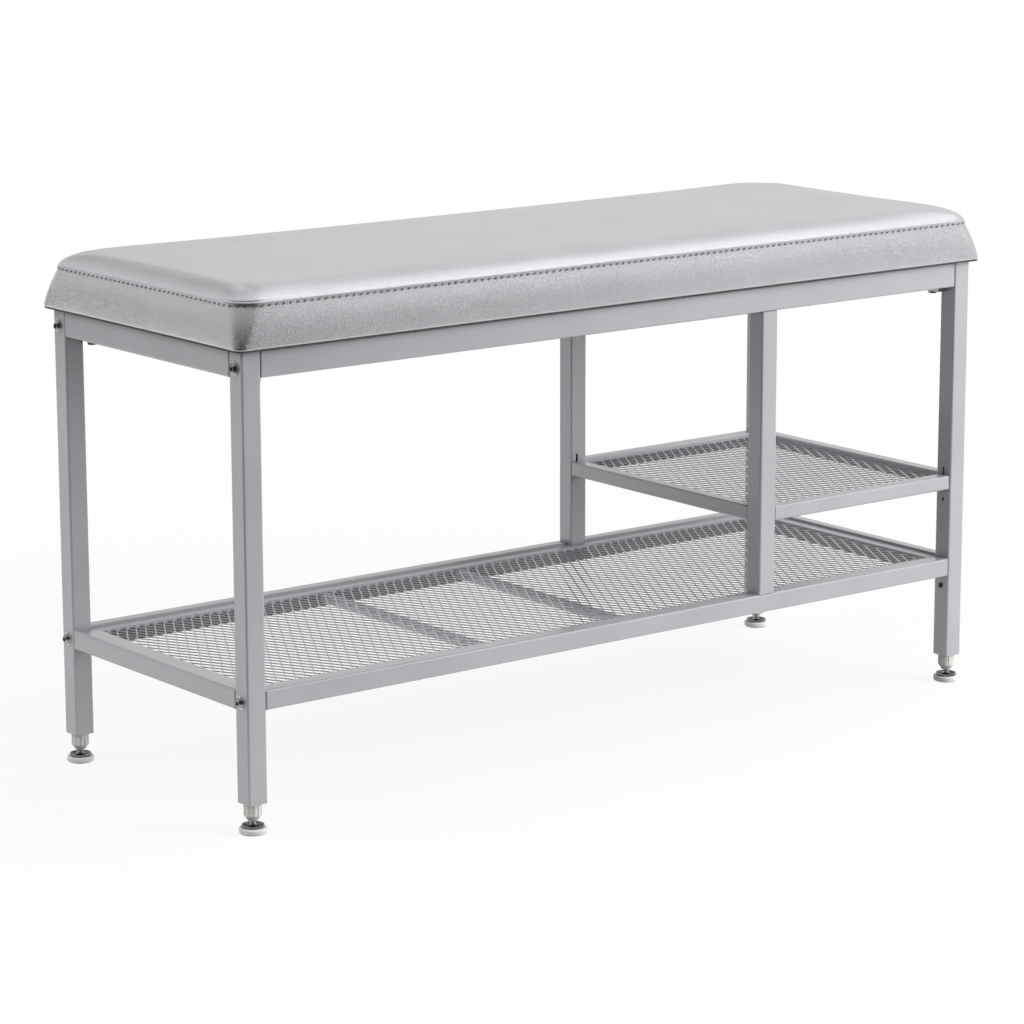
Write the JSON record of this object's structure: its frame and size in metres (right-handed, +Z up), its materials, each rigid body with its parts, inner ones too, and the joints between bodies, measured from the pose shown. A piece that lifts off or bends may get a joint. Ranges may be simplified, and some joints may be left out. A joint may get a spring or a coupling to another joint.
{
  "type": "storage bench",
  "caption": "Metal bench with a padded seat, an open tube frame, a wide mesh shelf below, a short mesh shelf at half height and screw levelling feet.",
  "frame": {"origin": "on the floor under the middle of the bench", "axes": "+X along the bench to the right end with the short shelf, +Y to the back, +Z up"},
  "size_m": [0.898, 0.333, 0.4918],
  "materials": {
    "frame_paint": "satin silver-grey paint",
    "mesh_paint": "satin silver-grey paint on expanded mesh",
    "seat_leather": "silver-grey synthetic leather with a fine grain",
    "seat_padding": "open foam",
    "seat_wood": "raw board",
    "base_cloth": "black non-woven cloth",
    "zinc_steel": "bright zinc plating",
    "black_plastic": "moulded",
    "white_plastic": "moulded, slightly translucent"
  },
  "bodies": {
    "frame": {"leg_front_left": "frame_paint", "leg_front_right": "frame_paint", "leg_back_left": "frame_paint", "leg_back_right": "frame_paint", "upper_rail_front": "frame_paint", "upper_rail_back": "frame_paint", "upper_rail_left": "frame_paint", "upper_rail_right": "frame_paint", "lower_rail_front": "frame_paint", "lower_rail_back": "frame_paint", "lower_rail_left": "frame_paint", "lower_rail_right": "frame_paint", "mid_rail_front": "frame_paint", "mid_rail_back": "frame_paint", "mid_rail_left": "frame_paint", "mid_rail_right": "frame_paint", "mid_post_front": "frame_paint", "mid_post_back": "frame_paint", "lower_cross_bar_left": "frame_paint", "lower_cross_bar_right": "frame_paint", "lower_net": "mesh_paint", "mid_net": "mesh_paint", "seat_cover": "seat_leather", "seat_foam": "seat_padding", "seat_board": "seat_wood", "seat_base_cloth": "base_cloth", "mid_shelf_hooks": "zinc_steel", "seat_tabs": "zinc_steel", "seat_screws": "zinc_steel", "frame_bolts": "zinc_steel", "frame_washers": "zinc_steel", "rail_nuts": "zinc_steel", "post_bolts": "zinc_steel", "post_nuts": "zinc_steel", "leg_top_plugs": "black_plastic", "leg_hole_plugs": "black_plastic", "foot_plug_front_left": "white_plastic", "foot_plug_front_right": "white_plastic", "foot_plug_back_left": "white_plastic", "foot_plug_back_right": "white_plastic"},
    "pad_front_left": {"foot_pad_front_left": "white_plastic"},
    "screw_front_left": {"foot_stem_front_left": "zinc_steel", "foot_dish_front_left": "zinc_steel"},
    "pad_front_right": {"foot_pad_front_right": "white_plastic"},
    "screw_front_right": {"foot_stem_front_right": "zinc_steel", "foot_dish_front_right": "zinc_steel"},
    "pad_back_left": {"foot_pad_back_left": "white_plastic"},
    "screw_back_left": {"foot_stem_back_left": "zinc_steel", "foot_dish_back_left": "zinc_steel"},
    "pad_back_right": {"foot_pad_back_right": "white_plastic"},
    "screw_back_right": {"foot_stem_back_right": "zinc_steel", "foot_dish_back_right": "zinc_steel"}
  },
  "joints": [
    {"name": "foot_height_front_left", "type": "slide", "parent": "frame", "child": "pad_front_left", "axis": [0, 0, 1], "range_m": [-0.005, 0.0035]},
    {"name": "foot_turn_front_left", "type": "hinge", "parent": "pad_front_left", "child": "screw_front_left", "pos_m": [-0.43, -0.1475, 0.0056], "axis": [0, 0, 1], "range_deg": [-1800, 1260]},
    {"name": "foot_height_front_right", "type": "slide", "parent": "frame", "child": "pad_front_right", "axis": [0, 0, 1], "range_m": [-0.005, 0.0035]},
    {"name": "foot_turn_front_right", "type": "hinge", "parent": "pad_front_right", "child": "screw_front_right", "pos_m": [0.43, -0.1475, 0.0056], "axis": [0, 0, 1], "range_deg": [-1800, 1260]},
    {"name": "foot_height_back_left", "type": "slide", "parent": "frame", "child": "pad_back_left", "axis": [0, 0, 1], "range_m": [-0.005, 0.0035]},
    {"name": "foot_turn_back_left", "type": "hinge", "parent": "pad_back_left", "child": "screw_back_left", "pos_m": [-0.43, 0.1475, 0.0056], "axis": [0, 0, 1], "range_deg": [-1800, 1260]},
    {"name": "foot_height_back_right", "type": "slide", "parent": "frame", "child": "pad_back_right", "axis": [0, 0, 1], "range_m": [-0.005, 0.0035]},
    {"name": "foot_turn_back_right", "type": "hinge", "parent": "pad_back_right", "child": "screw_back_right", "pos_m": [0.43, 0.1475, 0.0056], "axis": [0, 0, 1], "range_deg": [-1800, 1260]}
  ],
  "couplings": [
    {"joint": "foot_turn_front_left", "follows": "foot_height_front_left", "rad_per_m": 6283.2},
    {"joint": "foot_turn_front_right", "follows": "foot_height_front_right", "rad_per_m": 6283.2},
    {"joint": "foot_turn_back_left", "follows": "foot_height_back_left", "rad_per_m": 6283.2},
    {"joint": "foot_turn_back_right", "follows": "foot_height_back_right", "rad_per_m": 6283.2}
  ]
}
